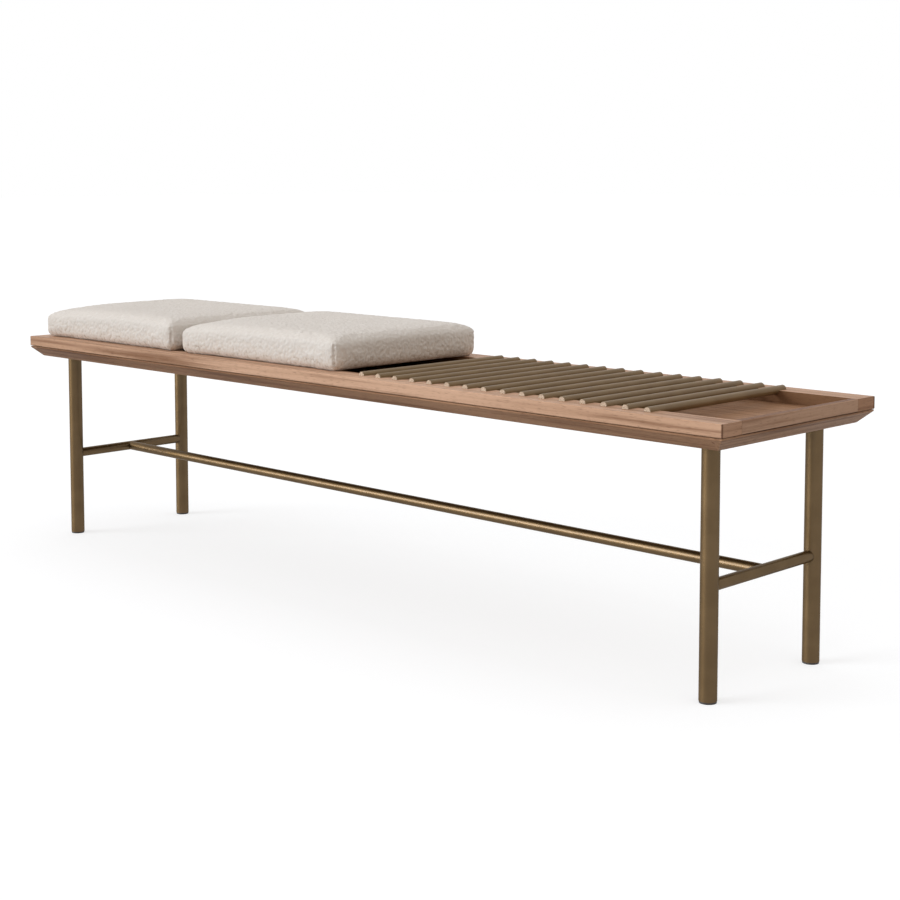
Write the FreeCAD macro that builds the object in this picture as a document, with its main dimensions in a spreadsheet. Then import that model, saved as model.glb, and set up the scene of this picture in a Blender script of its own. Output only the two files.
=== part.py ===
"""Cushioned bench: a bevelled timber tray on a metal H-frame, with round bars and two loose cushions.

Frame: +X runs along the bench to the bar end, -Y is the front, +Z is up.
The origin lies on the floor under the middle of the bench.  All lengths are in millimetres.
"""
import FreeCAD, Part
import math
import os
import re
import Sketcher
from FreeCAD import Vector

# Driving sizes.
SIZES = {
    # Timber top
    "bench_length": 1800,
    "bench_depth": 416,
    "top_height": 430,
    "rail_width": 50,
    "rail_height": 20,
    "rail_arris": 1,
    "lip_width": 12,
    "base_thickness": 22,
    "bevel_inset": 20,
    "land_height": 2.4,
    "land_inset": 0.8,
    "reveal_height": 1.2,
    "reveal_depth": 5,
    # Round bars
    "rod_diameter": 14,
    "rod_seat_length": 23,
    "rod_chamfer": 1,
    "rod_gap": 65.5,
    "tray_margin": 152.5,
    "seat_clearance": 0.1,
    "rod_screw_inset": 8,
    "rod_thread": 5,
    # Fasteners
    "screw_diameter": 4,
    "screw_head_diameter": 8,
    "screw_head_height": 2.6,
    "screw_clearance": 0.1,
    "rail_screw_inset": 20,
    "rail_screw_grip": 9,
    "rail_screw_recess": 6,
    "flange_screw_grip": 12,
    "dowel_diameter": 6,
    "dowel_half": 12,
    "cut_overrun": 5,
    # Metal frame
    "leg_diameter": 28,
    "leg_wall": 2,
    "leg_inset_along": 66,
    "leg_inset_across": 68,
    "flange_diameter": 72,
    "flange_thickness": 4,
    "flange_screw_offset": 18,
    "stretcher_diameter": 19,
    "stretcher_wall": 1.5,
    "stretcher_height": 175,
    "glide_thickness": 3,
    "glide_inset": 0.6,
    "plug_length": 12,
    "plug_clearance": 0.1,
    # Cushions
    "cushion_length": 456,
    "cushion_height": 58,
    "cushion_crown": 9,
    "cushion_roll": 16,
    "cushion_foot_roll": 10,
    "cushion_corner": 16,
    "cushion_draw": 3,
    "cushion_swell": 1.5,
    "cushion_rest_width": 28,
    "cushion_margin": 20,
    "cushion_gap": 26,
    "cushion_seat": 0.3,
    "cover_thickness": 3,
    "foam_clearance": 0.3,
    "foam_foot_roll": 4,
    "board_thickness": 9,
    "board_inset": 17,
    "board_corner": 15,
}

# Sizes worked out from the driving ones, each from the cells above it.
DERIVED = {
    "rail_base": "top_height - rail_height",
    "base_bottom": "rail_base - base_thickness",
    "rail_centre": "bench_depth / 2 - rail_width / 2",
    "tray_width": "bench_depth - 2 * rail_width",
    "leg_along": "bench_length / 2 - leg_inset_along",
    "leg_across": "bench_depth / 2 - leg_inset_across",
    "leg_bore": "leg_diameter - 2 * leg_wall",
    "cushion_width": "tray_width + 2 * cushion_rest_width",
    "cushion_left_x": "cushion_margin + cushion_length / 2 - bench_length / 2",
    "cushion_right_x": "cushion_left_x + cushion_length + cushion_gap",
    "cushion_base": "top_height + cushion_seat",
    "rod_length": "tray_width + 2 * rod_seat_length",
    "rod_first": "cushion_right_x + cushion_length / 2 + rod_gap",
    "rod_last": "bench_length / 2 - tray_margin",
    "notch_diameter": "rod_diameter + 2 * seat_clearance",
    "notch_reach": "rod_seat_length + seat_clearance",
    "rod_screw_across": "tray_width / 2 + rod_screw_inset",
    "rail_screw_across": "tray_width / 2 + rail_screw_inset",
    "screw_hole": "screw_diameter + 2 * screw_clearance",
    "screw_head_hole": "screw_head_diameter + 2 * screw_clearance",
    "lip_x": "bench_length / 2 - lip_width / 2",
    "dowel_hole": "dowel_diameter + 2 * seat_clearance",
    "flange_hole": "flange_diameter + 2 * seat_clearance",
}

# Counts, shares and signs.  The rail screws stand at shares of the legs' distance from the middle.
ROD_COUNT = 16
RAIL_SCREW_SHARES = (-5 / 6, -1 / 2, -1 / 6, 1 / 6, 1 / 2, 5 / 6)
ROLL_STEPS = 3
CROWN_STEPS = 4
CROWN_FLAT_SHARE = 0.8
SIDES = {"left": -1, "right": 1}
FACES = {"front": -1, "back": 1}
FLANGE_SCREW_SIGNS = ((-1, -1), (-1, 1), (1, -1), (1, 1))

doc = FreeCAD.newDocument("CushionedBench")
sheet = doc.addObject("Spreadsheet::Sheet", "Sizes")
cells = {alias: str(number) for alias, number in SIZES.items()}
cells.update({alias: "=" + formula for alias, formula in DERIVED.items()})
for row, (alias, content) in enumerate(cells.items(), start=1):
    sheet.set(f"A{row}", alias)
    sheet.set(f"B{row}", content)
    sheet.setAlias(f"B{row}", alias)
doc.recompute()

nodes = []


def value(expression):
    """Present value of an expression written in the sheet's aliases."""
    return float(sheet.evalExpression(expression))


def bound(expression):
    """The same expression as another object writes it, with the sheet's name before each alias."""
    return re.sub(r"[a-z][a-z_]*", lambda word: "Sizes." + word.group(), expression)


def bind(thing, name, expression):
    """Tie one property of an object to the sheet."""
    thing.setExpression(name, bound(expression))


def place(thing, x="0", y="0", z="0"):
    """Put a sub-part at three expressions and list it for export."""
    for axis, expression in zip("xyz", (x, y, z)):
        bind(thing, "Placement.Base." + axis, expression)
    nodes.append(thing)


def new_body(label):
    """Empty body that becomes one sub-part."""
    body = doc.addObject("PartDesign::Body", label)
    body.Label = label
    return body


def sketch_on(body, role, name, offset="0"):
    """Sketch on one of the body's own origin planes, moved along the plane's normal."""
    sketch = body.newObject("Sketcher::SketchObject", f"{body.Label}_{name}")
    plane = next(feature for feature in body.Origin.OriginFeatures if feature.Role == role)
    sketch.AttachmentSupport = [(plane, "")]
    sketch.MapMode = "FlatFace"
    bind(sketch, "AttachmentOffset.Base.z", offset)
    return sketch


def constrain(sketch, expression, kind, *references):
    """Add one dimension to a sketch and tie it to the sheet."""
    index = sketch.addConstraint(Sketcher.Constraint(kind, *references, value(expression)))
    bind(sketch, f"Constraints[{index}]", expression)


def pin_point(sketch, geometry, point, across, up):
    """Hold a point of a sketch at two expressions measured from the sketch's origin."""
    for axis_line, kind, expression in ((-2, "DistanceX", across), (-1, "DistanceY", up)):
        if expression == "0":
            sketch.addConstraint(Sketcher.Constraint("PointOnObject", geometry, point, axis_line))
        else:
            constrain(sketch, expression, kind, -1, 1, geometry, point)


def circle(sketch, diameter, across="0", up="0"):
    """Circle whose diameter and centre are tied to the sheet."""
    centre = Vector(value(across), value(up), 0)
    index = sketch.addGeometry(Part.Circle(centre, Vector(0, 0, 1), value(diameter) / 2))
    constrain(sketch, diameter, "Diameter", index)
    pin_point(sketch, index, 3, across, up)


def rectangle(sketch, width, height):
    """Rectangle centred on the sketch's origin, with both sides tied to the sheet."""
    half_width = value(width) / 2
    half_height = value(height) / 2
    signs = ((-1, -1), (1, -1), (1, 1), (-1, 1))
    corners = [Vector(across * half_width, up * half_height, 0) for across, up in signs]
    sides = [Part.LineSegment(start, end) for start, end in zip(corners, corners[1:] + corners[:1])]
    bottom, right, top, left = sketch.addGeometry(sides)
    for first, second in ((bottom, right), (right, top), (top, left), (left, bottom)):
        sketch.addConstraint(Sketcher.Constraint("Coincident", first, 2, second, 1))
    for level, upright in ((bottom, left), (top, right)):
        sketch.addConstraint(Sketcher.Constraint("Horizontal", level))
        sketch.addConstraint(Sketcher.Constraint("Vertical", upright))
    sketch.addConstraint(Sketcher.Constraint("Symmetric", bottom, 1, top, 1, -1, 1))
    constrain(sketch, width, "DistanceX", bottom, 1, bottom, 2)
    constrain(sketch, height, "DistanceY", right, 1, right, 2)


def pad(body, sketch, length, symmetric=False):
    """Pad a sketch along its normal, or evenly to both sides of it."""
    feature = body.newObject("PartDesign::Pad", sketch.Name + "_pad")
    feature.Profile = sketch
    feature.SideType = "Symmetric" if symmetric else "One side"
    bind(feature, "Length", length)
    doc.recompute()
    return feature


def pocket(body, sketch, depth, along_normal):
    """Cut a sketch into the body to a depth, and make sure that it removed material."""
    before = body.Shape.Volume
    feature = body.newObject("PartDesign::Pocket", sketch.Name + "_cut")
    feature.Profile = sketch
    feature.Reversed = along_normal
    bind(feature, "Length", depth)
    doc.recompute()
    if not body.Shape.Volume < before:
        raise RuntimeError(f"{feature.Name} removed nothing")
    return feature


def chamfer(body, base, size, chosen):
    """Chamfer the edges of a feature whose middle point passes a test."""
    names = []
    for index, edge in enumerate(base.Shape.Edges, start=1):
        middle = edge.valueAt((edge.FirstParameter + edge.LastParameter) / 2)
        if chosen(middle):
            names.append(f"Edge{index}")
    feature = body.newObject("PartDesign::Chamfer", base.Name + "_chamfer")
    feature.Base = (base, names)
    bind(feature, "Size", size)
    doc.recompute()
    return feature


def legs():
    """Every leg corner as its name and the signs of its place along and across the bench."""
    for face, across in FACES.items():
        for side, along in SIDES.items():
            yield f"{face}_{side}", along, across


def signed(sign, expression):
    """Expression with a sign in front of it."""
    return f"{sign} * ({expression})"


def leg_spot(along, across):
    """Place of one leg's axis along and across the bench."""
    return signed(along, "leg_along"), signed(across, "leg_across")


def rod_place(number):
    """Place along the bench of one bar, counted from zero at the cushions."""
    return f"rod_first + {number} * (rod_last - rod_first) / {ROD_COUNT - 1}"


def base_board():
    """Board under the rails: a bevel, an upright land and a set-back top that leaves the shadow line."""
    body = new_body("base_board")
    bevel_top = "base_thickness - reveal_height - land_height"
    lower = sketch_on(body, "XY_Plane", "lower_edge")
    rectangle(lower, "bench_length - 2 * bevel_inset", "bench_depth - 2 * bevel_inset")
    upper = sketch_on(body, "XY_Plane", "upper_edge", bevel_top)
    rectangle(upper, "bench_length - 2 * land_inset", "bench_depth - 2 * land_inset")
    bevel = body.newObject("PartDesign::AdditiveLoft", "base_board_bevel")
    bevel.Profile = lower
    bevel.Sections = [upper]
    bevel.Ruled = True
    doc.recompute()
    land = sketch_on(body, "XY_Plane", "land", bevel_top)
    rectangle(land, "bench_length - 2 * land_inset", "bench_depth - 2 * land_inset")
    pad(body, land, "land_height")
    top = sketch_on(body, "XY_Plane", "top", "base_thickness - reveal_height")
    rectangle(top, "bench_length - 2 * reveal_depth", "bench_depth - 2 * reveal_depth")
    pad(body, top, "reveal_height")
    recess = sketch_on(body, "XY_Plane", "flange_recess")
    pilot = sketch_on(body, "XY_Plane", "flange_pilot")
    for _, along, across in legs():
        x, y = leg_spot(along, across)
        circle(recess, "flange_hole", x, y)
        for shift_along, shift_across in FLANGE_SCREW_SIGNS:
            circle(pilot, "screw_hole", f"{x} + {shift_along} * flange_screw_offset",
                   f"{y} + {shift_across} * flange_screw_offset")
    pocket(body, recess, "flange_thickness", along_normal=True)
    pocket(body, pilot, "flange_thickness + flange_screw_grip", along_normal=True)
    hole = sketch_on(body, "XY_Plane", "rail_screw_hole")
    head = sketch_on(body, "XY_Plane", "rail_screw_recess")
    for across in FACES.values():
        for share in RAIL_SCREW_SHARES:
            spot = (signed(share, "leg_along"), signed(across, "rail_screw_across"))
            circle(hole, "screw_hole", *spot)
            circle(head, "screw_head_hole", *spot)
    pocket(body, hole, "base_thickness + cut_overrun", along_normal=True)
    pocket(body, head, "rail_screw_recess", along_normal=True)
    place(body, z="base_bottom")


def rail(face, across):
    """Long rail with a half-round seat for every bar, open to the tray and stopped inside the rail."""
    body = new_body(f"{face}_rail")
    plan = sketch_on(body, "XY_Plane", "plan")
    rectangle(plan, "bench_length", "rail_width")
    bar = pad(body, plan, "rail_height")
    chamfer(body, bar, "rail_arris", lambda middle: round(middle.x) == 0 and middle.y * across > 0)
    inner = signed(-across, "rail_width / 2")
    seat = sketch_on(body, "XZ_Plane", "seat", signed(across, "rail_width / 2 - notch_reach"))
    circle(seat, "notch_diameter", "rod_first", "rail_height")
    notch = pocket(body, seat, "notch_reach + cut_overrun", along_normal=across > 0)
    screw_spot = ("rod_first", f"{inner} + {across} * rod_screw_inset")
    drill = sketch_on(body, "XY_Plane", "rod_screw_hole")
    circle(drill, "screw_hole", *screw_spot)
    bore = pocket(body, drill, "rail_height + cut_overrun", along_normal=True)
    sink = sketch_on(body, "XY_Plane", "rod_screw_recess")
    circle(sink, "screw_head_hole", *screw_spot)
    recess = pocket(body, sink, "screw_head_height + seat_clearance", along_normal=True)
    row = body.newObject("PartDesign::LinearPattern", f"{face}_rail_row")
    row.Originals = [notch, bore, recess]
    row.Direction = (plan, ["H_Axis"])
    row.Occurrences = ROD_COUNT
    bind(row, "Length", "rod_last - rod_first")
    body.Tip = row
    grip = sketch_on(body, "XY_Plane", "rail_screw_pilot")
    for share in RAIL_SCREW_SHARES:
        circle(grip, "screw_hole", signed(share, "leg_along"), f"{inner} + {across} * rail_screw_inset")
    pocket(body, grip, "rail_screw_grip", along_normal=True)
    ends = sketch_on(body, "XZ_Plane", "dowel_hole", signed(across, "rail_width / 2"))
    for along in SIDES.values():
        circle(ends, "dowel_hole", signed(along, "lip_x"), "rail_height / 2")
    pocket(body, ends, "dowel_half", along_normal=across < 0)
    place(body, y=signed(across, "rail_centre"), z="rail_base")


def end_lip(side, along):
    """Narrow strip that closes the tray between the two rails."""
    body = new_body(f"{side}_end_lip")
    plan = sketch_on(body, "XY_Plane", "plan")
    rectangle(plan, "lip_width", "tray_width")
    strip = pad(body, plan, "rail_height")
    chamfer(body, strip, "rail_arris", lambda middle: round(middle.y) == 0 and middle.x * along > 0)
    for face, across in FACES.items():
        hole = sketch_on(body, "XZ_Plane", f"{face}_dowel_hole", signed(-across, "tray_width / 2"))
        circle(hole, "dowel_hole", up="rail_height / 2")
        pocket(body, hole, "dowel_half", along_normal=across > 0)
    place(body, x=signed(along, "lip_x"), z="rail_base")


def rod(number):
    """One round bar, chamfered at both ends and drilled from below for its two screws."""
    body = new_body(f"rod_{number + 1:02d}")
    section = sketch_on(body, "XZ_Plane", "section")
    circle(section, "rod_diameter")
    bar = pad(body, section, "rod_length", symmetric=True)
    chamfer(body, bar, "rod_chamfer", lambda middle: round(middle.y) != 0)
    holes = sketch_on(body, "XY_Plane", "screw_holes", "rod_thread - rod_diameter / 2")
    for across in FACES.values():
        circle(holes, "screw_hole", up=signed(across, "rod_screw_across"))
    pocket(body, holes, "rod_thread + cut_overrun", along_normal=False)
    place(body, x=rod_place(number), z="top_height")


def flange(corner, along, across):
    """Round plate let into the underside, which the leg is welded to."""
    body = new_body(f"flange_{corner}")
    disc = sketch_on(body, "XY_Plane", "disc")
    circle(disc, "flange_diameter")
    pad(body, disc, "flange_thickness")
    holes = sketch_on(body, "XY_Plane", "holes")
    for shift_along, shift_across in FLANGE_SCREW_SIGNS:
        circle(holes, "screw_hole", signed(shift_along, "flange_screw_offset"),
               signed(shift_across, "flange_screw_offset"))
    pocket(body, holes, "flange_thickness + cut_overrun", along_normal=True)
    place(body, *leg_spot(along, across), "base_bottom")


def leg(corner, along, across):
    """Round tube from the glide up to the flange."""
    body = new_body(f"leg_{corner}")
    ring = sketch_on(body, "XY_Plane", "ring")
    circle(ring, "leg_diameter")
    circle(ring, "leg_bore")
    pad(body, ring, "base_bottom - glide_thickness")
    place(body, *leg_spot(along, across), "glide_thickness")


def glide(corner, along, across):
    """Foot disc with a plug that sits in the end of the leg."""
    body = new_body(f"glide_{corner}")
    disc = sketch_on(body, "XY_Plane", "disc")
    circle(disc, "leg_diameter - 2 * glide_inset")
    pad(body, disc, "glide_thickness")
    plug = sketch_on(body, "XY_Plane", "plug", "glide_thickness")
    circle(plug, "leg_bore - 2 * plug_clearance")
    pad(body, plug, "plug_length")
    place(body, *leg_spot(along, across))


def end_stretcher(side, along):
    """Tube between the two legs of one end, its ends coped round the legs."""
    body = new_body(f"{side}_end_stretcher")
    ring = sketch_on(body, "XZ_Plane", "ring")
    circle(ring, "stretcher_diameter")
    circle(ring, "stretcher_diameter - 2 * stretcher_wall")
    pad(body, ring, "2 * leg_across", symmetric=True)
    cope = sketch_on(body, "XY_Plane", "cope", "stretcher_diameter")
    for across in FACES.values():
        circle(cope, "leg_diameter", up=signed(across, "leg_across"))
    pocket(body, cope, "2 * stretcher_diameter", along_normal=False)
    place(body, x=signed(along, "leg_along"), z="stretcher_height")


def long_stretcher():
    """Tube along the bench between the end stretchers, its ends coped round them."""
    body = new_body("long_stretcher")
    ring = sketch_on(body, "YZ_Plane", "ring")
    circle(ring, "stretcher_diameter")
    circle(ring, "stretcher_diameter - 2 * stretcher_wall")
    pad(body, ring, "2 * leg_along", symmetric=True)
    cope = sketch_on(body, "XZ_Plane", "cope", "stretcher_diameter")
    for along in SIDES.values():
        circle(cope, "stretcher_diameter", signed(along, "leg_along"))
    pocket(body, cope, "2 * stretcher_diameter", along_normal=False)
    place(body, z="stretcher_height")


def point(x, y, z):
    """Point at three expressions."""
    return Vector(value(x), value(y), value(z))


def screw(x, y, head_top, tip):
    """Screw that points up: a round head under its seat, and the shank from the seat to the tip."""
    seat = point(x, y, head_top)
    down = Vector(0, 0, -1)
    head = Part.makeCylinder(value("screw_head_diameter / 2"), value("screw_head_height"), seat, down)
    shank = Part.makeCylinder(value("screw_diameter / 2"), value(f"{tip} - ({head_top})"), seat)
    return head.fuse(shank).removeSplitter()


def group(label, solids):
    """Identical fasteners that share one sub-part, each a solid of its own."""
    feature = doc.addObject("Part::Feature", label)
    feature.Label = label
    feature.Shape = Part.makeCompound(solids)
    place(feature)


def rod_screws():
    """Screws that hold the bars down, driven up through the rails."""
    seat = "rail_base + screw_head_height + seat_clearance"
    tip = "top_height - rod_diameter / 2 + rod_thread - screw_clearance"
    group("rod_screws", [screw(rod_place(number), signed(across, "rod_screw_across"), seat, tip)
                         for across in FACES.values() for number in range(ROD_COUNT)])


def rail_screws():
    """Screws that hold the rails, driven up through the base board."""
    tip = "rail_base + rail_screw_grip - screw_clearance"
    group("rail_screws", [screw(signed(share, "leg_along"), signed(across, "rail_screw_across"),
                                "base_bottom + rail_screw_recess", tip)
                          for across in FACES.values() for share in RAIL_SCREW_SHARES])


def flange_screws():
    """Screws that hold the leg flanges to the base board."""
    tip = "base_bottom + flange_thickness + flange_screw_grip - screw_clearance"
    screws = []
    for _, along, across in legs():
        x, y = leg_spot(along, across)
        for shift_along, shift_across in FLANGE_SCREW_SIGNS:
            screws.append(screw(f"{x} + {shift_along} * flange_screw_offset",
                                f"{y} + {shift_across} * flange_screw_offset", "base_bottom", tip))
    group("flange_screws", screws)


def lip_dowels():
    """Dowels between the ends of the lips and the rails."""
    radius = value("dowel_diameter / 2")
    length = value("2 * (dowel_half - seat_clearance)")
    dowels = []
    for across in FACES.values():
        for along in SIDES.values():
            inner_end = point(signed(along, "lip_x"),
                              signed(across, "tray_width / 2 - dowel_half + seat_clearance"),
                              "rail_base + rail_height / 2")
            dowels.append(Part.makeCylinder(radius, length, inner_end, Vector(0, across, 0)))
    group("lip_dowels", dowels)


def pad_outline(length, width, inset, height):
    """Plan of a cushion at one level: four drawn-in sides and four round corners, as arcs."""
    half_long = length / 2 - inset
    half_wide = width / 2 - inset
    corner = min(value("cushion_corner"), half_wide / 2)
    draw = value("cushion_draw") * half_wide / (width / 2)
    shoulder = corner * (1 - math.sqrt(1 / 2))
    half_plan = [((half_long - corner, half_wide), (0, half_wide - draw), (corner - half_long, half_wide)),
                 ((corner - half_long, half_wide), (shoulder - half_long, half_wide - shoulder),
                  (-half_long, half_wide - corner)),
                 ((-half_long, half_wide - corner), (draw - half_long, 0), (-half_long, corner - half_wide)),
                 ((-half_long, corner - half_wide), (shoulder - half_long, shoulder - half_wide),
                  (corner - half_long, -half_wide))]
    other_half = [tuple((-x, -y) for x, y in arc) for arc in half_plan]
    arcs = [Part.Arc(*(Vector(x, y, height) for x, y in arc)) for arc in half_plan + other_half]
    return Part.Wire([arc.toShape() for arc in arcs])


def pad_solid(length, width, height, foot_roll, top_roll, swell):
    """Closed cushion form: rolled foot, swelling sides, rolled top edge and a crown, lofted upwards."""
    crown = value("cushion_crown")
    crown_reach = CROWN_FLAT_SHARE * width / 2 - top_roll
    levels = []
    for step in range(ROLL_STEPS + 1):
        turn = math.radians(90 * step / ROLL_STEPS)
        levels.append((foot_roll * (1 - math.sin(turn)), foot_roll * (1 - math.cos(turn))))
    levels.append((-swell, (foot_roll + height - top_roll) / 2))
    for step in range(ROLL_STEPS + 1):
        turn = math.radians(90 * step / ROLL_STEPS)
        levels.append((top_roll * (1 - math.cos(turn)), height - top_roll * (1 - math.sin(turn))))
    for step in range(1, CROWN_STEPS + 1):
        rise = step / CROWN_STEPS
        levels.append((top_roll + rise * crown_reach, height + crown * (1 - (1 - rise) ** 2)))
    return Part.makeLoft([pad_outline(length, width, inset, level) for inset, level in levels], True, True)


def pad_feature(label, solid, x, z):
    """Sub-part that holds one soft form."""
    feature = doc.addObject("Part::Feature", label)
    feature.Label = label
    feature.Shape = solid
    place(feature, x=x, z=z)


def cushion(side):
    """Loose cushion: a sewn cover, the foam in it and the stiff board that bridges the tray."""
    length = value("cushion_length")
    width = value("cushion_width")
    height = value("cushion_height")
    foot = value("cushion_foot_roll")
    roll = value("cushion_roll")
    swell = value("cushion_swell")
    skin = value("cover_thickness")
    slack = skin + value("foam_clearance")
    centre = f"cushion_{side}_x"
    outer = pad_solid(length, width, height, foot, roll, swell)
    cavity = pad_solid(length - 2 * skin, width - 2 * skin, height - 2 * skin,
                       foot - skin, roll - skin, swell)
    cavity.translate(Vector(0, 0, skin))
    pad_feature(f"cushion_cover_{side}", outer.cut(cavity), centre, "cushion_base")
    foam_height = value("cushion_height - 2 * cover_thickness - board_thickness - foam_clearance")
    foam = pad_solid(length - 2 * slack, width - 2 * slack, foam_height,
                     value("foam_foot_roll"), roll - slack, 0)
    pad_feature(f"cushion_foam_{side}", foam, centre, "cushion_base + cover_thickness + board_thickness")
    body = new_body(f"cushion_board_{side}")
    plan = sketch_on(body, "XY_Plane", "plan")
    rectangle(plan, "cushion_length - 2 * board_inset", "cushion_width - 2 * board_inset")
    sheet_pad = pad(body, plan, "board_thickness")
    corners = body.newObject("PartDesign::Fillet", f"cushion_board_{side}_corners")
    upright = [index for index, edge in enumerate(sheet_pad.Shape.Edges, start=1)
               if edge.BoundBox.XLength + edge.BoundBox.YLength < edge.BoundBox.ZLength]
    corners.Base = (sheet_pad, [f"Edge{index}" for index in upright])
    bind(corners, "Radius", "board_corner")
    place(body, x=centre, z="cushion_base + cover_thickness")


base_board()
for face_name, across_sign in FACES.items():
    rail(face_name, across_sign)
for side_name, along_sign in SIDES.items():
    end_lip(side_name, along_sign)
for rod_number in range(ROD_COUNT):
    rod(rod_number)
for corner_name, along_sign, across_sign in legs():
    flange(corner_name, along_sign, across_sign)
    leg(corner_name, along_sign, across_sign)
    glide(corner_name, along_sign, across_sign)
for side_name, along_sign in SIDES.items():
    end_stretcher(side_name, along_sign)
long_stretcher()
rod_screws()
rail_screws()
flange_screws()
lip_dowels()
for side_name in SIDES:
    cushion(side_name)
doc.recompute()

for thing in doc.Objects:
    if {"Invalid", "Error"} & set(thing.State):
        raise RuntimeError(f"{thing.Name} failed: {thing.State}")
os.makedirs("parts", exist_ok=True)
for thing in nodes:
    if thing.Shape.isNull() or not thing.Shape.isValid():
        raise RuntimeError(f"{thing.Label} has no sound shape")
for thing in nodes:
    thing.Shape.exportStep(f"parts/{thing.Label}.step")
    print(thing.Label, len(thing.Shape.Solids), round(thing.Shape.Volume))
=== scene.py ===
"""Looks of the cushioned bench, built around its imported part.

Lengths are metres in the part's frame: +X runs along the bench to the bar end, -Y is the
front and +Z is up.  The timber and metal keep the part's own solids and get their finishes
here.  The two cushions are made here and stand for the part's plain pads.
"""

import logging
import math
from dataclasses import dataclass
from enum import Enum
from typing import Any, Dict, List, Optional, Tuple, Union

import bmesh
import bpy
import numpy as np
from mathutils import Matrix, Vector


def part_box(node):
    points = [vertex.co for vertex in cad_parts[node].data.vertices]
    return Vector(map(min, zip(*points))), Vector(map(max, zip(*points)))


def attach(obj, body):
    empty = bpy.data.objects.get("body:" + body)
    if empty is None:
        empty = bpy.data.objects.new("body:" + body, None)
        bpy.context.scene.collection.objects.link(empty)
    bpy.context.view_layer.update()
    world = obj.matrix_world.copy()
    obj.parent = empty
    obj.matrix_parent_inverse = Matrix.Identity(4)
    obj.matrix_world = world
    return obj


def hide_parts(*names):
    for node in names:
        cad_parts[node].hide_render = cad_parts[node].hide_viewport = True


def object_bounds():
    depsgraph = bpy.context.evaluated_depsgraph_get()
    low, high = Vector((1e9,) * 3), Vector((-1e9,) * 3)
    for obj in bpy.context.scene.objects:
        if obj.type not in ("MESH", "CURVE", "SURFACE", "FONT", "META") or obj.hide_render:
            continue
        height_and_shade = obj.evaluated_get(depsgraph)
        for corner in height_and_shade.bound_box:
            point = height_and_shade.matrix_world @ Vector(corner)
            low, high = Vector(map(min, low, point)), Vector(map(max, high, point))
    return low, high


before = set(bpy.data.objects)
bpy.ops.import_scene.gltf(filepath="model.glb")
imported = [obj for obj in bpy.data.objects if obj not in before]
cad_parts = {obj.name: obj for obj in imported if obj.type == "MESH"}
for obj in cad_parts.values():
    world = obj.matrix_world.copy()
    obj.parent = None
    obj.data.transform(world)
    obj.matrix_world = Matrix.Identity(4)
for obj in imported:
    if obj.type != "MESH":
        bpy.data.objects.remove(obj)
CAD_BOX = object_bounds()

log = logging.getLogger("cushioned_bench")

Colour = Tuple[float, float, float]
Triple = Tuple[float, float, float]
Number = Union[float, "Value"]
Sockets = Dict[Union[int, str], Any]

CORNERS = ("front_left", "front_right", "back_left", "back_right")
FIRST_SEED = 11
TINY = 1e-9


class Axis(Enum):
    """Direction in which a grain or a brushed finish runs."""

    X = 0
    Y = 1
    Z = 2


class Value:
    """A shader socket that takes part in Python arithmetic."""

    def __init__(self, graph: "Graph", socket: bpy.types.NodeSocket) -> None:
        """Wrap one output socket of a graph's node."""
        self.graph = graph
        self.socket = socket

    def math(self, operation: str, first: Number, second: Number = 0.0) -> "Value":
        """Result of one Math node."""
        return self.graph.node("ShaderNodeMath", {"operation": operation}, {0: first, 1: second})

    def __add__(self, other: Number) -> "Value":
        """Sum."""
        return self.math("ADD", self, other)

    def __radd__(self, other: float) -> "Value":
        """Sum, reflected."""
        return self.math("ADD", other, self)

    def __sub__(self, other: Number) -> "Value":
        """Difference."""
        return self.math("SUBTRACT", self, other)

    def __rsub__(self, other: float) -> "Value":
        """Difference, reflected."""
        return self.math("SUBTRACT", other, self)

    def __mul__(self, other: Number) -> "Value":
        """Product."""
        return self.math("MULTIPLY", self, other)

    def __rmul__(self, other: float) -> "Value":
        """Product, reflected."""
        return self.math("MULTIPLY", other, self)

    def __gt__(self, other: Number) -> "Value":
        """One where this is the larger, else nothing."""
        return self.math("GREATER_THAN", self, other)

    def __abs__(self) -> "Value":
        """Size without its sign."""
        return self.math("ABSOLUTE", self)

    def sine(self) -> "Value":
        """Sine."""
        return self.math("SINE", self)

    def larger(self, other: Number) -> "Value":
        """Larger of the two."""
        return self.math("MAXIMUM", self, other)


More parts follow.
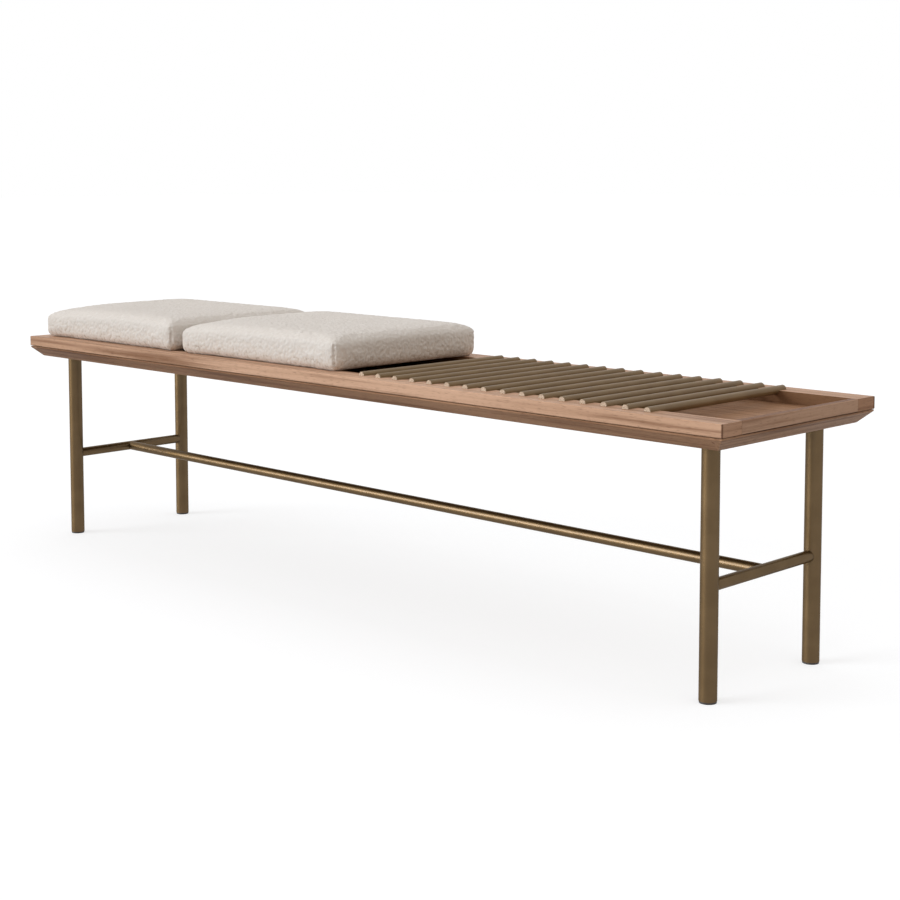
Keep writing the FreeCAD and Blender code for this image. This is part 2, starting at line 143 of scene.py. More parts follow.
class Graph:
    """A node tree that is filled from expressions."""

    def __init__(self, tree: bpy.types.NodeTree) -> None:
        """Start from an empty tree."""
        self.tree = tree
        tree.nodes.clear()

    @classmethod
    def of_material(cls, name: str) -> "Graph":
        """Graph of a new material.

        Args:
            name: The material's name.

        Returns:
            The graph, still empty.
        """
        material = bpy.data.materials.new(name)
        material.use_nodes = True
        return cls(material.node_tree)

    def node(self, kind: str, settings: Optional[Dict[str, Any]] = None,
             sockets: Optional[Sockets] = None, output: Union[int, str] = 0) -> Value:
        """Add a node.

        Args:
            kind: Type of the node.
            settings: Properties, set first.
            sockets: Numbers, colours or values for its inputs, by index, identifier or name.
            output: Index or name of the output that is handed back.

        Returns:
            The chosen output, or None where the node has none.
        """
        node = self.tree.nodes.new(kind)
        for key, setting in (settings or {}).items():
            setattr(node, key, setting)
        for key, content in (sockets or {}).items():
            socket = self.pick(node.inputs, key)
            if isinstance(content, Value):
                self.tree.links.new(content.socket, socket)
            else:
                socket.default_value = content
        return Value(self, self.pick(node.outputs, output)) if node.outputs else None

    @staticmethod
    def pick(sockets: Any, key: Union[int, str]) -> bpy.types.NodeSocket:
        """Find a socket.

        Args:
            sockets: A node's inputs or outputs.
            key: Index, identifier or name.

        Returns:
            The socket.
        """
        if isinstance(key, int):
            return sockets[key]
        return next((s for s in sockets if s.identifier == key), None) or sockets[key]

    def position(self) -> Value:
        """Object coordinates, which are the part's own frame."""
        return self.node("ShaderNodeTexCoord", output="Object")

    def attribute(self, name: str) -> Value:
        """Number that the piece's mesh carries under a name."""
        return self.node("ShaderNodeAttribute", {"attribute_name": name}, None, "Fac")

    def split(self, vector: Value) -> List[Value]:
        """Take a vector apart.

        Args:
            vector: The vector.

        Returns:
            Its three numbers.
        """
        first = self.node("ShaderNodeSeparateXYZ", None, {"Vector": vector})
        outputs = first.socket.node.outputs
        return [Value(self, outputs[index]) for index in range(3)]

    def join(self, x: Number, y: Number, z: Number) -> Value:
        """Vector of three numbers."""
        return self.node("ShaderNodeCombineXYZ", None, {0: x, 1: y, 2: z})

    def stretch(self, vector: Value, scale: Triple) -> Value:
        """Vector times a scale for each axis."""
        return self.node("ShaderNodeVectorMath", {"operation": "MULTIPLY"}, {0: vector, 1: scale})

    def noise(self, vector: Value, scale: float = 1.0, detail: float = 2.0,
              rough: float = 0.5) -> Value:
        """Soft noise, about 0.5 in the middle.

        Args:
            vector: Place.
            scale: Cells per unit.
            detail: Octaves.
            rough: Share that each octave keeps.

        Returns:
            The noise.
        """
        sockets: Sockets = {"Vector": vector, "Scale": scale, "Detail": detail, "Roughness": rough}
        return self.node("ShaderNodeTexNoise", {"noise_dimensions": "3D"}, sockets, "Fac")

    def grain(self, place: Value, scale: Triple, detail: float, rough: float = 0.5) -> Value:
        """Noise drawn out along an axis, by a scale for each axis."""
        return self.noise(self.stretch(place, scale), detail=detail, rough=rough)

    def ramp(self, value: Value, low: float, high: float) -> Value:
        """Smooth step from 0 at low to 1 at high."""
        return self.node("ShaderNodeMapRange", {"interpolation_type": "SMOOTHSTEP"},
                         {"Value": value, "From Min": low, "From Max": high})

    def mix(self, factor: Number, first: Any, second: Any, blend: str = "MIX") -> Value:
        """Mix two colours.

        Args:
            factor: Share of the second.
            first: A colour or a value.
            second: A colour or a value.
            blend: How the second is laid over the first.

        Returns:
            The mixed colour.
        """
        settings = {"data_type": "RGBA", "blend_type": blend}
        sockets: Sockets = {
            "Factor_Float": factor,
            "A_Color": self.solid(first),
            "B_Color": self.solid(second),
        }
        return self.node("ShaderNodeMix", settings, sockets, "Result_Color")

    @staticmethod
    def solid(colour: Any) -> Any:
        """A colour with its alpha, or a value as it is."""
        return colour if isinstance(colour, Value) else (*colour, 1.0)

    def bump(self, height: Value, distance: float, strength: float) -> Value:
        """Tilt the normal by a height.

        Args:
            height: Height between 0 and 1.
            distance: Depth of the relief in metres.
            strength: Share of it that shows.

        Returns:
            The tilted normal.
        """
        sockets: Sockets = {"Height": height, "Distance": distance, "Strength": strength}
        return self.node("ShaderNodeBump", None, sockets)

    def surface(self, sockets: Sockets) -> bpy.types.Material:
        """Close a material with a principled shader.

        Args:
            sockets: What its inputs get.

        Returns:
            The material.
        """
        shader = self.node("ShaderNodeBsdfPrincipled", None, sockets, "BSDF")
        self.node("ShaderNodeOutputMaterial", None, {"Surface": shader})
        return next(m for m in bpy.data.materials if m.node_tree == self.tree)


@dataclass(frozen=True)
class WalnutFinish:
    """Straight-grained walnut under a clear satin lacquer.

    The grain scales are cells per metre along the grain, across it and upwards.
    """

    name: str
    grain: Axis
    cut_at: float = 0.0
    turned_past: Optional[float] = None
    turned_below: float = 1.0
    turned_tone: Colour = (1.0, 1.0, 1.0)
    edge_past: Optional[float] = None
    stain_and_shade_axis: Optional[Axis] = None
    stain_and_shade_to: float = 1.0
    pale: Colour = (0.69, 0.45, 0.315)
    warm: Colour = (0.51, 0.305, 0.195)
    dark: Colour = (0.22, 0.108, 0.056)
    pore: Colour = (0.115, 0.054, 0.028)
    stain_and_shade: Colour = (0.60, 0.53, 0.45)
    broad_grain: Triple = (0.9, 7.0, 7.0)
    sway_grain: Triple = (1.3, 9.0, 9.0)
    band_grain: Triple = (1.6, 46.0, 46.0)
    streak_grain: Triple = (2.6, 120.0, 120.0)
    fibre_grain: Triple = (22.0, 900.0, 900.0)
    pore_grain: Triple = (60.0, 1500.0, 1500.0)
    ring_tilt: float = 0.7
    ring_pitch: float = 560.0
    ring_sway: float = 26.0
    band_share: float = 0.85
    ring_share: float = 0.6
    streak_share: float = 0.5
    fibre_share: float = 0.25
    pore_share: float = 0.55
    edge_share: float = 0.75
    satin: float = 0.36
    relief: float = 0.00025

    def material(self) -> bpy.types.Material:
        """Material with growth streaks, fibres and open pores along the grain.

        Returns:
            The material.
        """
        graph = Graph.of_material(self.name)
        x, y, z = graph.split(graph.position())
        along, across = (x, y) if self.grain is Axis.X else (y, x)
        end = None
        if self.turned_past is not None:
            end = (abs(x) > self.turned_past) * (1.0 - (z > self.turned_below))
            along, across = along + (across - along) * end, across + (along - across) * end
        place = graph.join(along + self.cut_at, across, z)
        broad = graph.grain(place, self.broad_grain, detail=2.0)
        sway = graph.grain(place, self.sway_grain, detail=1.0)
        turns = (across + z * self.ring_tilt) * self.ring_pitch + sway * self.ring_sway
        rings = turns.sine() * 0.5 + 0.5
        band = graph.grain(place, self.band_grain, detail=3.0, rough=0.55)
        streak = graph.grain(place, self.streak_grain, detail=5.0, rough=0.6)
        fibre = graph.grain(place, self.fibre_grain, detail=3.0)
        pores = graph.ramp(graph.grain(place, self.pore_grain, detail=1.0), 0.6, 0.72)
        colour = graph.mix(graph.ramp(broad, 0.35, 0.65), self.warm, self.pale)
        colour = graph.mix(graph.ramp(band, 0.5, 0.72) * self.band_share, colour, self.dark)
        ringed = rings * graph.ramp(streak, 0.38, 0.7)
        colour = graph.mix(ringed * self.ring_share, colour, self.dark)
        colour = graph.mix(graph.ramp(streak, 0.5, 0.7) * self.streak_share, colour, self.dark)
        colour = graph.mix(graph.ramp(fibre, 0.5, 0.8) * self.fibre_share, colour, self.pale)
        colour = graph.mix(pores * self.pore_share, colour, self.pore)
        # Darker inside a limit along an axis: a stain on the base board, painted shade on the faces
        # inside the tray.
        if self.stain_and_shade_axis is not None:
            inside = 1.0 - (abs((x, y, z)[self.stain_and_shade_axis.value]) > self.stain_and_shade_to)
            colour = graph.mix(inside, colour, self.stain_and_shade, "MULTIPLY")
        if end is not None:
            colour = graph.mix(end, colour, self.turned_tone, "MULTIPLY")
        if self.edge_past is not None:
            edge = (abs(y) > self.edge_past) * end
            colour = graph.mix(edge * self.edge_share, colour, self.pore)
        height = 1.0 - pores * 0.7 - fibre * 0.3
        return graph.surface({
            "Base Color": colour,
            "Roughness": self.satin + streak * 0.12 + pores * 0.15,
            "IOR": 1.45,
            "Specular IOR Level": 0.05,
            "Normal": graph.bump(height, self.relief, 0.5),
        })


@dataclass(frozen=True)
class BronzeFinish:
    """Satin bronze, brushed along a tube or bar; lighter at the cut ends of the bars, partly bare
    metal and partly a painted highlight of the front light.
    """

    name: str
    brushed: Axis
    bare_and_highlight_past: Optional[float] = None
    brown: Colour = (0.096, 0.059, 0.025)
    golden: Colour = (0.145, 0.094, 0.044)
    bare_and_highlight: Colour = (0.31, 0.242, 0.184)
    glance: Colour = (0.50, 0.43, 0.36)
    lacquer: float = 0.3
    metal: float = 1.0
    line_along: float = 30.0
    line_across: float = 1400.0
    satin: float = 0.34
    cut_satin: float = 0.15
    relief: float = 0.00004

    def material(self) -> bpy.types.Material:
        """Metal with faint brush lines and a drifting tone.

        Returns:
            The material.
        """
        graph = Graph.of_material(self.name)
        place = graph.position()
        lines = [self.line_along if axis is self.brushed else self.line_across for axis in Axis]
        brush = graph.grain(place, tuple(lines), detail=2.0)
        drift = graph.noise(place, scale=22.0, detail=3.0)
        speck = graph.ramp(graph.noise(place, scale=900.0, detail=2.0), 0.62, 0.75)
        colour = graph.mix(0.15 + graph.ramp(drift, 0.3, 0.75) * 0.5, self.brown, self.golden)
        colour = graph.mix(brush * 0.2 + speck * 0.2, colour, self.golden)
        rough = self.satin + brush * 0.14 + drift * 0.06
        metal: Number = self.metal
        # Cut ends: a lighter bare tone, partly a painted highlight of the front light.
        if self.bare_and_highlight_past is not None:
            cut = abs(graph.split(place)[1]) > self.bare_and_highlight_past
            colour = graph.mix(cut, colour, self.bare_and_highlight)
            rough = rough + cut * self.cut_satin
            metal = self.metal + cut * (1.0 - self.metal)
        return graph.surface({
            "Base Color": colour,
            "Metallic": metal,
            "Roughness": rough,
            "Specular Tint": (*self.glance, 1.0),
            "Coat Weight": self.lacquer,
            "Coat Roughness": 0.16,
            "Normal": graph.bump(brush, self.relief, 0.35),
        })


@dataclass(frozen=True)
class BoucleFinish:
    """Cream wool loops; the loops themselves are in the cushions' meshes, and the colour paints
    shade between them and at the foot.
    """

    name: str
    # Painted contact shadow colour along the cushion's bottom edge.
    contact_shadow: Colour = (0.20, 0.165, 0.13)
    pit_shade: Colour = (0.51, 0.448, 0.39)
    hollow_shade_and_tone: Colour = (0.672, 0.610, 0.548)
    loop: Colour = (0.733, 0.694, 0.655)
    tuft: Colour = (0.777, 0.746, 0.714)
    yarn_scale: float = 1100.0
    cloud_scale: float = 14.0
    relief: float = 0.0008

    def material(self) -> bpy.types.Material:
        """Fabric coloured by the loops' height and each loop's own tint, with painted shade in the
        gaps between loops, a painted contact shadow at the foot and fewer dark gaps on the lit top.

        Returns:
            The material.
        """
        graph = Graph.of_material(self.name)
        place = graph.position()
        height = graph.attribute(Cushion.LOOP_HEIGHT_AND_SHADE)
        tint = graph.attribute(Cushion.TINT)
        yarn = graph.noise(place, scale=self.yarn_scale, detail=3.0, rough=0.65)
        cloud = graph.noise(place, scale=self.cloud_scale, detail=2.0)
        # Painted shade: darkest at the bottom edge as a contact shadow, dark in the gaps between
        # loops, lightest on the loop tops.
        colour = graph.mix(graph.ramp(height, -1.0, 0.0), self.contact_shadow, self.pit_shade)
        colour = graph.mix(graph.ramp(height, 0.0, 0.14), colour, self.hollow_shade_and_tone)
        colour = graph.mix(graph.ramp(height, 0.05, 0.75), colour, self.loop)
        colour = graph.mix(graph.ramp(tint, 0.45, 1.0) * 0.6, colour, self.tuft)
        # Random yarn and cloud tone, drawn towards the colour of the shaded gaps.
        colour = graph.mix(graph.ramp(yarn, 0.5, 0.8) * 0.3, colour, self.hollow_shade_and_tone)
        colour = graph.mix(cloud * 0.12, colour, self.hollow_shade_and_tone)
        return graph.surface({
            "Base Color": colour,
            "Roughness": 0.9,
            "Specular IOR Level": 0.2,
            "Sheen Weight": 0.25,
            "Sheen Roughness": 0.5,
            "Normal": graph.bump(yarn, self.relief, 0.6),
        })


@dataclass(frozen=True)
class GlideFinish:
    """Dark moulded plastic with a faint pebble grain."""

    name: str
    colour: Colour = (0.035, 0.031, 0.027)
    worn: Colour = (0.065, 0.059, 0.052)
    pebble_scale: float = 1800.0
    scuff_scale: float = 160.0
    relief: float = 0.0001

    def material(self) -> bpy.types.Material:
        """Matt plastic.

        Returns:
            The material.
        """
        graph = Graph.of_material(self.name)
        place = graph.position()
        pebble = graph.noise(place, scale=self.pebble_scale, detail=2.0)
        scuff = graph.ramp(graph.noise(place, scale=self.scuff_scale, detail=4.0), 0.55, 0.75)
        return graph.surface({
            "Base Color": graph.mix(scuff * 0.6, self.colour, self.worn),
            "Roughness": 0.5 + scuff * 0.2,
            "Normal": graph.bump(pebble, self.relief, 0.5),
        })


@dataclass(frozen=True)
class SteelFinish:
    """Zinc-plated steel of the screws."""

    name: str
    colour: Colour = (0.55, 0.55, 0.54)
    dull: Colour = (0.36, 0.36, 0.35)
    patch_scale: float = 400.0

    def material(self) -> bpy.types.Material:
        """Plated metal with dull patches.

        Returns:
            The material.
        """
        graph = Graph.of_material(self.name)
        patch = graph.noise(graph.position(), scale=self.patch_scale, detail=4.0)
        return graph.surface({
            "Base Color": graph.mix(graph.ramp(patch, 0.4, 0.7), self.colour, self.dull),
            "Metallic": 1.0,
            "Roughness": 0.25 + patch * 0.25,
        })


@dataclass(frozen=True)
class RawWoodFinish:
    """Raw pale wood: turned dowels, or plywood with its glued plies."""

    name: str
    grain: Axis
    plies: bool = False
    ply_height: float = 0.0015
    pale: Colour = (0.70, 0.56, 0.38)
    dark: Colour = (0.52, 0.37, 0.22)
    fibre_along: float = 9.0
    fibre_across: float = 260.0
    relief: float = 0.0001

    def material(self) -> bpy.types.Material:
        """Unfinished wood.

        Returns:
            The material.
        """
        graph = Graph.of_material(self.name)
        place = graph.position()
        scale = [self.fibre_along if axis is self.grain else self.fibre_across for axis in Axis]
        fibre = graph.grain(place, tuple(scale), detail=4.0)
        shade = graph.ramp(fibre, 0.4, 0.75) * 0.6
        if self.plies:
            layer = (graph.split(place)[2] * (math.pi / self.ply_height)).sine()
            shade = shade * 0.6 + graph.ramp(layer, -0.1, 0.1) * 0.4
        return graph.surface({
            "Base Color": graph.mix(shade, self.pale, self.dark),
            "Roughness": 0.7 + fibre * 0.15,
            "Normal": graph.bump(fibre, self.relief, 0.5),
        })


def dress(material: bpy.types.Material, *nodes: str) -> None:
    """Give CAD nodes a material.

    Args:
        material: The finish.
        nodes: Names of the nodes.
    """
    for name in nodes:
        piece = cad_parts[name]
        piece.material_slots[0].material = material
        log.info("%s dressed in %s", name, material.name)


@dataclass
class TimberTop:
    """Base board, long rails and end lips, with the dowels at the lips."""

    end_skin: float = 0.0011
    dark_edge: float = 0.0035
    inner_skin: float = 0.0005
    bevel: float = 0.021
    rail_cut: float = 0.6
    inner_shade: Colour = (0.40, 0.36, 0.30)
    rail_end_tone: Colour = (0.80, 0.76, 0.73)
    lip_pale: Colour = (0.50, 0.320, 0.220)
    lip_warm: Colour = (0.41, 0.245, 0.160)
    lip_inner_shade: Colour = (0.43, 0.33, 0.25)

    def dress(self) -> None:
        """Run the grain along the bench, and across it at the ends."""
        half = CAD_BOX[1].x
        # Painted shade: the rails' faces inside the tray are coloured darker, as the tray's recess
        # lies in shade.
        inside = -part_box("front_rail")[1].y + self.inner_skin
        rails = WalnutFinish("walnut_rails", Axis.X, self.rail_cut, half - self.end_skin,
                             turned_tone=self.rail_end_tone,
                             edge_past=CAD_BOX[1].y - self.dark_edge,
                             stain_and_shade_axis=Axis.Y, stain_and_shade_to=inside, stain_and_shade=self.inner_shade)
        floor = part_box("base_board")[1].z - self.inner_skin
        board = WalnutFinish("walnut_board", Axis.X, turned_past=half - self.bevel,
                             turned_below=floor, stain_and_shade_axis=Axis.X)
        # Painted shade: the lips are coloured darker on all faces but their outer ends, like the
        # tray's shaded inside.
        lips = WalnutFinish("walnut_lips", Axis.Y, stain_and_shade_axis=Axis.X, stain_and_shade_to=half - self.end_skin,
                            pale=self.lip_pale, warm=self.lip_warm, stain_and_shade=self.lip_inner_shade)
        dress(board.material(), "base_board")
        dress(rails.material(), "front_rail", "back_rail")
        dress(lips.material(), "left_end_lip", "right_end_lip")
        dress(RawWoodFinish("dowel_beech", Axis.Y).material(), "lip_dowels")


@dataclass
class BarRow:
    """Round bars let into the rails, and their screws."""

    count: int = 16
    end_skin: float = 0.0006
    brown: Colour = (0.150, 0.094, 0.041)
    golden: Colour = (0.224, 0.150, 0.073)
    lacquer: float = 0.0
    metal: float = 0.1

    def dress(self) -> None:
        """Brush the bars along their length and make their ends lighter, partly bare metal and
        partly a painted highlight.
        """
        names = [f"rod_{number:02d}" for number in range(1, self.count + 1)]
        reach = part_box(names[0])[1].y
        bars = BronzeFinish("bronze_bars", Axis.Y, reach - self.end_skin, self.brown, self.golden,
                            lacquer=self.lacquer, metal=self.metal)
        dress(bars.material(), *names)
        dress(SteelFinish("screw_zinc").material(), "rod_screws", "rail_screws", "flange_screws")


@dataclass
class MetalFrame:
    """Legs with flanges and glides, and the stretchers between them."""

    def dress(self) -> None:
        """Brush each tube along its length."""
        legs = [f"leg_{corner}" for corner in CORNERS]
        flanges = [f"flange_{corner}" for corner in CORNERS]
        dress(BronzeFinish("bronze_legs", Axis.Z).material(), *legs, *flanges)
        dress(BronzeFinish("bronze_long_stretcher", Axis.X).material(), "long_stretcher")
        ends = BronzeFinish("bronze_end_stretchers", Axis.Y).material()
        dress(ends, "left_end_stretcher", "right_end_stretcher")
        glides = [f"glide_{corner}" for corner in CORNERS]
        dress(GlideFinish("glide_moulded").material(), *glides)


@dataclass
class Cushion:
    """A loose boxed cushion in looped wool, which stands for a plain pad of the part."""

    # Mesh attribute of the loops' height, with painted shade and light mixed in.
    LOOP_HEIGHT_AND_SHADE = "loop_height"
    TINT = "loop_tint"

    side: str
    seed: int
    corner: float = 0.016
    corner_steps: int = 6
    roll: float = 0.0095
    foot_roll: float = 0.017
    roll_steps: int = 5
    slack: float = 0.0004
    wall_height: float = 0.054
    crown: float = 0.0085
    flatness: float = 9.0
    waist: float = 0.004
    droop: float = 0.008
    droop_reach: float = 0.5
    voxel: float = 0.004
    pressure: float = 4.0
    frames: int = 20
    cap: float = 0.0035
    seam_depth: float = 0.0022
    seam_width: float = 0.0028
    seam_top: float = 0.8
    loop_size: float = 0.0052
    loop_height: float = 0.0019
    loop_reach: float = 0.75
    loop_round: float = 0.8
    loop_middle: float = 0.45
    loop_least: float = 0.6
    loop_range: float = 0.8
    lit_top_above: float = 0.3
    lit_top_most: float = 0.6
    contact_shadow_rise: float = 0.0035

    def build(self, material: bpy.types.Material) -> None:
        """Make the cushion, hang it on its body and hide the pads that it stands for.

        Args:
            material: Its cloth.
        """
        low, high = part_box(f"cushion_cover_{self.side}")
        piece = self.shell(low, high)
        self.remesh(piece)
        rest = self.points(piece)
        self.inflate(piece, rest)
        self.settle(piece, low, high)
        self.refine(piece)
        self.sew(piece, low, high)
        self.loop(piece, low)
        piece.data.materials.append(material)
        piece.data.shade_smooth()
        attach(piece, f"cushion_{self.side}")
        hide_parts(f"cushion_cover_{self.side}", f"cushion_foam_{self.side}")
        places = self.points(piece)
        log.info("%s built with %d faces from %s to %s", piece.name, len(piece.data.polygons),
                 places.min(0).round(4), places.max(0).round(4))

    def shell(self, low: Vector, high: Vector) -> bpy.types.Object:
        """Box with rounded corners and edges, a little smaller than the finished cushion.

        Args:
            low: Lowest corner of the pad it stands for.
            high: Highest corner of that pad.

        Returns:
            The box as an object.
        """
        size = Vector((high.x - low.x, high.y - low.y, self.wall_height))
        middle = Vector(((low.x + high.x) / 2, (low.y + high.y) / 2, low.z + size.z / 2))
        solid = bmesh.new()
        bmesh.ops.create_cube(solid, size=1.0)
        bmesh.ops.scale(solid, vec=size, verts=solid.verts)
        bmesh.ops.translate(solid, vec=middle, verts=solid.verts)
        upright = [e for e in solid.edges if abs(e.verts[0].co.z - e.verts[1].co.z) > self.roll]
        bmesh.ops.bevel(solid, geom=upright, offset=self.corner, affect="EDGES",
                        segments=self.corner_steps, profile=0.5, material=-1)
        top, foot = middle.z + size.z / 2, middle.z - size.z / 2
        for level, radius in ((top, self.roll), (foot, self.foot_roll)):
            rim = [e for e in solid.edges if all(abs(v.co.z - level) < self.slack for v in e.verts)]
            bmesh.ops.bevel(solid, geom=rim, offset=radius, affect="EDGES",
                            segments=self.roll_steps, profile=0.5, material=-1)
        mesh = bpy.data.meshes.new(f"cushion_{self.side}")
        solid.to_mesh(mesh)
        solid.free()
        piece = bpy.data.objects.new(f"boucle_cushion_{self.side}", mesh)
        bpy.context.scene.collection.objects.link(piece)
        return piece

    @staticmethod
    def points(piece: bpy.types.Object) -> np.ndarray:
        """Read the places of a mesh's vertices.

        Args:
            piece: The object with the mesh.

        Returns:
            The places, one row each.
        """
        places = np.empty(len(piece.data.vertices) * 3, np.float32)
        piece.data.vertices.foreach_get("co", places)
        return places.reshape(-1, 3).astype(float)

    @staticmethod
    def move(piece: bpy.types.Object, places: np.ndarray) -> None:
        """Put a mesh's vertices at new places."""
        piece.data.vertices.foreach_set("co", places.astype(np.float32).ravel())
        piece.data.update()

    @staticmethod
    def apply(piece: bpy.types.Object) -> None:
        """Make what the modifiers give the piece's own mesh.

        Args:
            piece: The object with the modifiers.
        """
        graph = bpy.context.evaluated_depsgraph_get()
        made = bpy.data.meshes.new_from_object(piece.evaluated_get(graph))
        piece.modifiers.clear()
        piece.data = made

    def remesh(self, piece: bpy.types.Object) -> None:
        """Even out the mesh for the cloth.

        Args:
            piece: The cushion's shell.
        """
        modifier = piece.modifiers.new("even", "REMESH")
        modifier.mode = "VOXEL"
        modifier.voxel_size = self.voxel
        self.apply(piece)

    def inflate(self, piece: bpy.types.Object, rest: np.ndarray) -> None:
        """Swell the cover by cloth simulation, up to a cap.

        Args:
            piece: The evenly meshed cushion.
            rest: Places of its vertices before.
        """
        modifier = piece.modifiers.new("swell", "CLOTH")
        modifier.settings.use_pressure = True
        modifier.settings.uniform_pressure_force = self.pressure
        modifier.settings.effector_weights.gravity = 0.0
        modifier.collision_settings.use_collision = False
        for number in range(1, self.frames + 1):
            bpy.context.scene.frame_set(number)
        self.apply(piece)
        bpy.context.scene.frame_set(1)
        shift = self.points(piece) - rest
        length = np.linalg.norm(shift, axis=1, keepdims=True)
        share = np.tanh(length / self.cap) * self.cap / np.maximum(length, TINY)
        self.move(piece, rest + shift * share)

    def settle(self, piece: bpy.types.Object, low: Vector, high: Vector) -> None:
        """Crown the top, draw in the sides and press the underside flat on the rails.

        Args:
            piece: The swollen cushion.
            low: Lowest corner of the pad it stands for.
            high: Highest corner of that pad.
        """
        places = self.points(piece)
        u = (2 * places[:, 0] - low.x - high.x) / (high.x - low.x)
        v = (2 * places[:, 1] - low.y - high.y) / (high.y - low.y)
        across = 1 - np.clip(np.abs(u), 0, 1) ** self.flatness
        dome = across * (1 - np.clip(np.abs(v), 0, 1) ** self.flatness)
        rise = np.clip((places[:, 2] - low.z) / self.wall_height, 0, 1)
        droop = np.exp(-((u + 1) ** 2 + (v + 1) ** 2) / self.droop_reach ** 2)
        places[:, 2] += (self.crown * dome - self.droop * droop) * rise
        places[:, 0] -= self.waist * u * np.clip(1 - v ** 2, 0, 1)
        places[:, 1] -= self.waist * v * np.clip(1 - u ** 2, 0, 1)
        places[:, 2] = np.maximum(places[:, 2], low.z)
        self.move(piece, places)

    def refine(self, piece: bpy.types.Object) -> None:
        """Subdivide once.

        Args:
            piece: The settled cushion.
        """
        modifier = piece.modifiers.new("fine", "SUBSURF")
        modifier.levels = modifier.render_levels = 1
        self.apply(piece)

    def sew(self, piece: bpy.types.Object, low: Vector, high: Vector) -> None:
        """Draw in an upright seam at each corner.

        Args:
            piece: The refined cushion.
            low: Lowest corner of the pad it stands for.
            high: Highest corner of that pad.
        """
        places = self.points(piece)
        normals = self.normals(piece)
        # how far each point lies past the middles of the corner rounds
        out_x = np.abs(places[:, 0] - (low.x + high.x) / 2) - ((high.x - low.x) / 2 - self.corner)
        out_y = np.abs(places[:, 1] - (low.y + high.y) / 2) - ((high.y - low.y) / 2 - self.corner)
        off = np.abs(out_x - out_y) / math.sqrt(2)
        on_corner = (out_x + out_y > self.corner) & (normals[:, 2] < self.seam_top)
        depth = self.seam_depth * np.exp(-(off / self.seam_width) ** 2) * on_corner
        self.move(piece, places - normals * depth[:, None])

    @staticmethod
    def normals(piece: bpy.types.Object) -> np.ndarray:
        """Read the normals of a mesh's vertices.

        Args:
            piece: The object with the mesh.

        Returns:
            The normals, one row each.
        """
        normals = np.empty(len(piece.data.vertices) * 3, np.float32)
        piece.data.vertex_normals.foreach_get("vector", normals)
        return normals.reshape(-1, 3).astype(float)

    def loop(self, piece: bpy.types.Object, low: Vector) -> None:
        """Raise the wool loops and note each one's height, with painted shade mixed in, and tint.

        Args:
            piece: The sewn cushion.
            low: Lowest corner of the pad it stands for, where it rests.
        """
        places = self.points(piece)
        normals = self.normals(piece)
        near, tint = self.cells(places / self.loop_size)
        height = np.clip(1 - near / self.loop_reach, 0, 1) ** self.loop_round
        # free flattens the loops towards the foot; in the colour it also darkens the foot as
        # painted shade.
        free = np.clip((places[:, 2] - low.z) / self.foot_roll, 0, 1)
        swing = (self.loop_least + self.loop_range * tint) * self.loop_height
        places += normals * ((height - self.loop_middle) * swing * free)[:, None]
        places[:, 2] = np.maximum(places[:, 2], low.z)
        self.move(piece, places)
        # Painted light: the top and upper walls keep the gaps between loops light, as if lit from
        # above.
        above = (places[:, 2] - low.z) / self.wall_height
        lit_top = np.maximum(2 * normals[:, 2] - 1, above - self.lit_top_above)
        lit_top = np.clip(lit_top, 0, self.lit_top_most)
        # Painted contact shadow: the bottom edge and the underside are coloured dark.
        contact_shadow_band = np.clip((places[:, 2] - low.z) / self.contact_shadow_rise - 1, -1, 0)
        # Colour attribute: painted shade in the gaps between loops, deepest towards the foot.
        height_and_shade = np.maximum(height * free, lit_top) + contact_shadow_band
        for name, content in ((self.LOOP_HEIGHT_AND_SHADE, height_and_shade), (self.TINT, tint)):
            layer = piece.data.attributes.new(name, "FLOAT", "POINT")
            layer.data.foreach_set("value", content.astype(np.float32))

    def cells(self, places: np.ndarray) -> Tuple[np.ndarray, np.ndarray]:
        """Find the nearest of scattered points, one in each unit cell.

        Args:
            places: Places in cells.

        Returns:
            The distances to it and its tints, between 0 and 1.
        """
        base = np.floor(places).astype(int)
        origin = base.min(0) - 1
        shape = base.max(0) - origin + 3
        random = np.random.default_rng(self.seed)
        scatter = random.random((*shape, 3))
        tints = random.random(shape)
        near = np.full(len(places), np.inf)
        tint = np.zeros(len(places))
        for step in np.ndindex(3, 3, 3):
            cell = base + np.array(step) - 1
            index = tuple((cell - origin).T)
            distance = np.linalg.norm(cell + scatter[index] - places, axis=1)
            closer = distance < near
            near = np.where(closer, distance, near)
            tint = np.where(closer, tints[index], tint)
        return near, tint


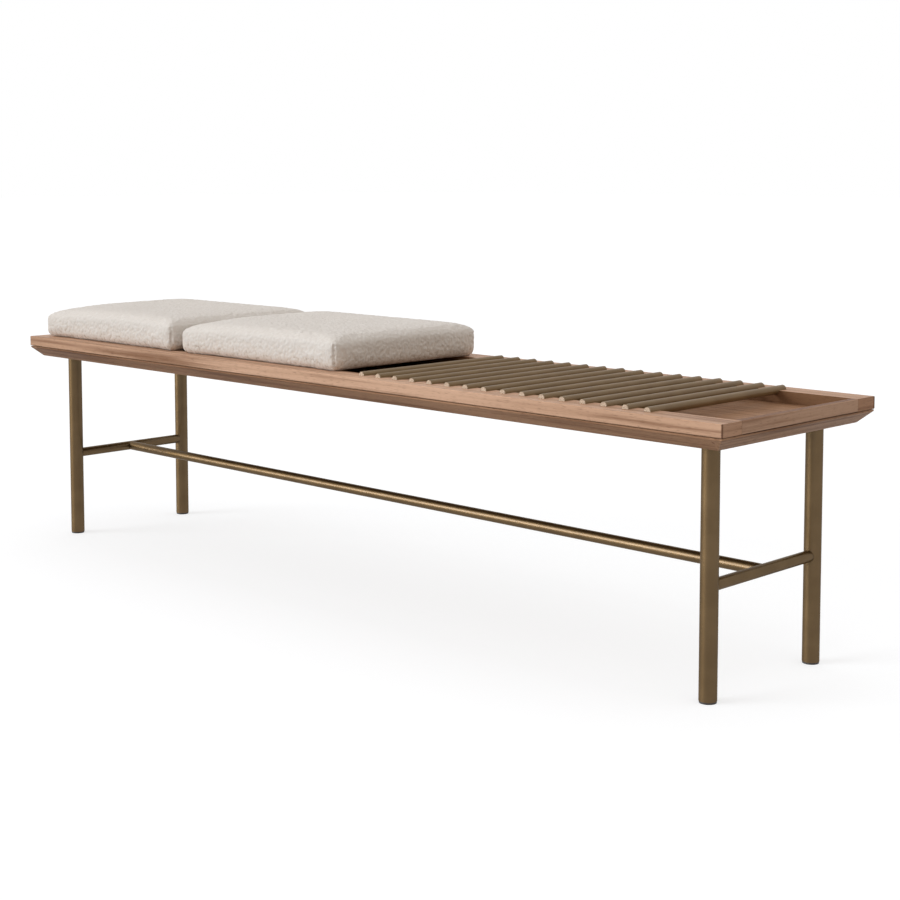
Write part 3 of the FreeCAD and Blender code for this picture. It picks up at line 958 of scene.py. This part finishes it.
@dataclass
class Studio:
    """Pale floor, soft light and the camera at the photograph's angle."""

    floor_half: float = 40.0
    floor_tone: Colour = (0.46, 0.475, 0.495)
    floor_glow: float = 0.65
    ambient: float = 0.50
    ambient_tone: Colour = (1.0, 0.945, 0.88)
    key_from: Triple = (-0.53, -0.81, 0.27)
    key_power: float = 1.83
    key_spread: float = 34.0
    key_tone: Colour = (0.98, 1.0, 1.02)
    top_from: Triple = (0.10, 0.05, 1.0)
    top_power: float = 0.67
    top_spread: float = 100.0
    top_tone: Colour = (0.94, 0.985, 1.05)
    strip_from: Triple = (-0.67, -0.74, 0.02)
    strip_power: float = 1.3
    strip_spread: float = 30.0
    fill_from: Triple = (1.0, -0.25, 0.12)
    fill_power: float = 0.30
    fill_spread: float = 80.0
    fill_tone: Colour = (1.0, 0.72, 0.48)
    lens: float = 66.548
    sensor: float = 36.0
    shift: float = -0.16
    eye: Triple = (2.2454, -2.1323, 0.7859)
    turn: float = 0.77357
    pitch: float = 0.08123

    def build(self) -> None:
        """Set up everything round the bench."""
        self.floor()
        self.world()
        key = self.lamp("key_light", self.key_from, self.key_power, self.key_spread)
        key.data.color = self.key_tone
        top = self.lamp("top_light", self.top_from, self.top_power, self.top_spread)
        top.data.color = self.top_tone
        strip = self.lamp("strip_light", self.strip_from, self.strip_power, self.strip_spread)
        strip.visible_diffuse = False
        fill = self.lamp("fill_light", self.fill_from, self.fill_power, self.fill_spread)
        fill.data.color = self.fill_tone
        self.camera()
        bpy.context.scene.view_settings.view_transform = "Standard"

    @staticmethod
    def seen(graph: Graph) -> Value:
        """Tell which rays see the background.

        Args:
            graph: Graph of the floor or the world.

        Returns:
            One for rays from the camera, a reflection or through glass, else nothing.
        """
        path = graph.node("ShaderNodeLightPath", output="Is Camera Ray")
        outputs = path.socket.node.outputs
        glossy = Value(graph, outputs["Is Glossy Ray"])
        through = Value(graph, outputs["Is Transmission Ray"])
        return path.larger(glossy).larger(through)

    def floor(self) -> None:
        """Floor that stays near white and keeps the shadow."""
        plane = bmesh.new()
        bmesh.ops.create_grid(plane, x_segments=1, y_segments=1, size=self.floor_half)
        mesh = bpy.data.meshes.new("floor")
        plane.to_mesh(mesh)
        plane.free()
        floor = bpy.data.objects.new("floor", mesh)
        bpy.context.scene.collection.objects.link(floor)
        graph = Graph.of_material("floor_white")
        matt = graph.node("ShaderNodeBsdfDiffuse", None, {"Color": (*self.floor_tone, 1.0)})
        lit = self.seen(graph) * self.floor_glow
        glow = graph.node("ShaderNodeEmission", None, {"Strength": lit})
        both = graph.node("ShaderNodeAddShader", None, {0: matt, 1: glow})
        graph.node("ShaderNodeOutputMaterial", None, {"Surface": both})
        mesh.materials.append(bpy.data.materials["floor_white"])

    def world(self) -> None:
        """White to the eye, and a plain level of light on the object."""
        world = bpy.data.worlds.new("studio")
        world.use_nodes = True
        graph = Graph(world.node_tree)
        plain: Sockets = {"Color": (*self.ambient_tone, 1.0), "Strength": self.ambient}
        soft = graph.node("ShaderNodeBackground", None, plain)
        bright: Sockets = {"Color": (1.0, 1.0, 1.0, 1.0), "Strength": 1.0}
        white = graph.node("ShaderNodeBackground", None, bright)
        mixed = graph.node("ShaderNodeMixShader", None, {0: self.seen(graph), 1: soft, 2: white})
        graph.node("ShaderNodeOutputWorld", None, {"Surface": mixed})
        bpy.context.scene.world = world

    @staticmethod
    def lamp(name: str, source: Triple, power: float, spread: float) -> bpy.types.Object:
        """Wide sun lamp.

        Args:
            name: Its name.
            source: Direction that the light comes from.
            power: Its strength.
            spread: Its angle in degrees.

        Returns:
            The lamp's object.
        """
        light = bpy.data.lights.new(name, "SUN")
        light.energy = power
        light.angle = math.radians(spread)
        holder = bpy.data.objects.new(name, light)
        holder.rotation_mode = "QUATERNION"
        holder.rotation_quaternion = (-Vector(source)).to_track_quat("-Z", "Y")
        bpy.context.scene.collection.objects.link(holder)
        return holder

    def camera(self) -> None:
        """Camera at the photograph's place."""
        data = bpy.data.cameras.new("camera")
        data.lens = self.lens
        data.sensor_width = self.sensor
        data.shift_y = self.shift
        holder = bpy.data.objects.new("camera", data)
        holder.location = self.eye
        holder.rotation_euler = (math.pi / 2 - self.pitch, 0.0, self.turn)
        bpy.context.scene.collection.objects.link(holder)
        bpy.context.scene.camera = holder


def main() -> None:
    """Dress the part, build the cushions and set up the studio."""
    logging.basicConfig(level=logging.INFO, format="%(name)s: %(message)s")
    TimberTop().dress()
    BarRow().dress()
    MetalFrame().dress()
    cloth = BoucleFinish("boucle_cream").material()
    board = RawWoodFinish("plywood_board", Axis.X, plies=True).material()
    for number, side in enumerate(("left", "right")):
        Cushion(side, seed=FIRST_SEED + number).build(cloth)
        dress(board, f"cushion_board_{side}")
    Studio().build()


if __name__ == "__main__":
    main()
